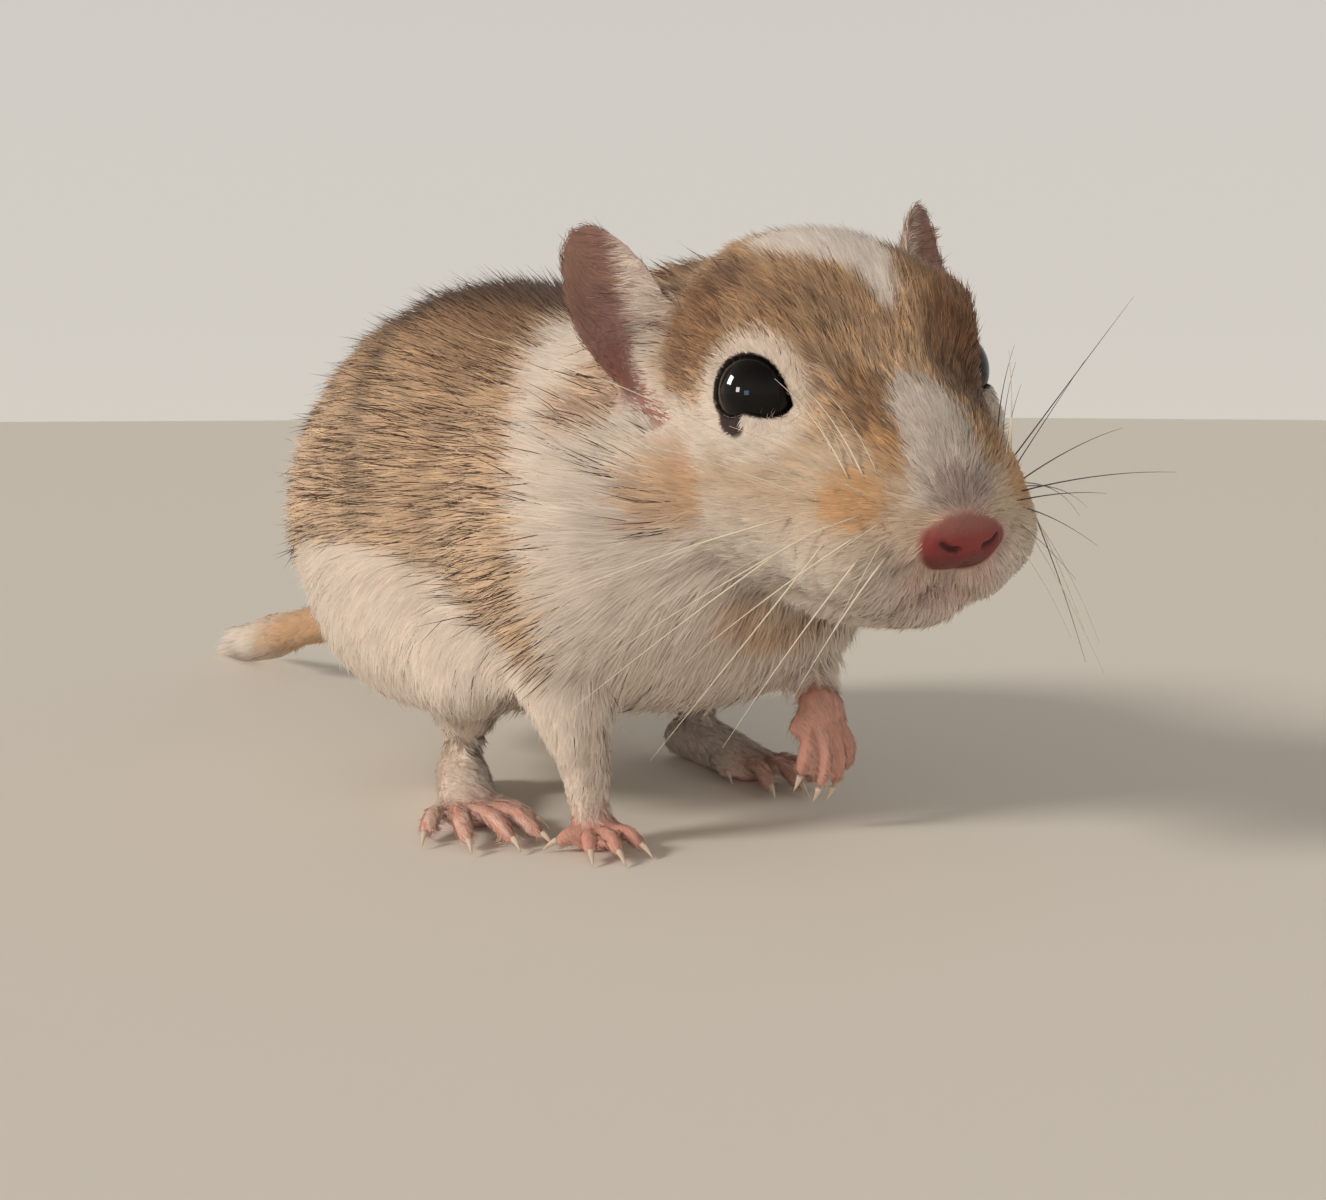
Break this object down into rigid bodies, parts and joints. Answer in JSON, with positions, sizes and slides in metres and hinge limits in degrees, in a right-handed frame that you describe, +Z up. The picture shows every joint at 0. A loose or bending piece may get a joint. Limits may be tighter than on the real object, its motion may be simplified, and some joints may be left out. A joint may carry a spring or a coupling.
{
  "type": "gerbil",
  "caption": "Life-size still model of a pied agouti Mongolian gerbil, crouched with its left forepaw lifted.",
  "frame": {"origin": "centre of the bottom of the bounding box, on the floor under the rump", "axes": "+Y along the body from the nose towards the tail, +Z up, +X towards the animal's left"},
  "size_m": [0.0588, 0.1626, 0.0559],
  "materials": {
    "agouti": "dense short fur, sandy brown with fine dark ticks",
    "white_fur": "dense short fur, creamy white",
    "bare_skin": "fine pink skin with sparse pale hairs",
    "nose_skin": "bare moist skin, dark pink",
    "eye": "wet glossy black",
    "tail_fur": "short buff fur with a paler brush at the tip"
  },
  "bodies": {
    "root": {"torso": "agouti", "neck": "agouti", "head": "agouti", "lower_jaw": "white_fur", "nose": "nose_skin", "eye_R": "eye", "eye_L": "eye", "ear_R": "bare_skin", "ear_L": "bare_skin", "forepaw_R": "bare_skin", "forepaw_L": "bare_skin", "foreleg_R": "white_fur", "foreleg_L": "white_fur", "hind_leg_R": "white_fur", "hind_leg_L": "white_fur", "hind_foot_R": "bare_skin", "hind_foot_L": "bare_skin", "tail_base": "tail_fur", "tail_middle": "tail_fur", "tail_tip": "tail_fur"}
  },
  "joints": []
}
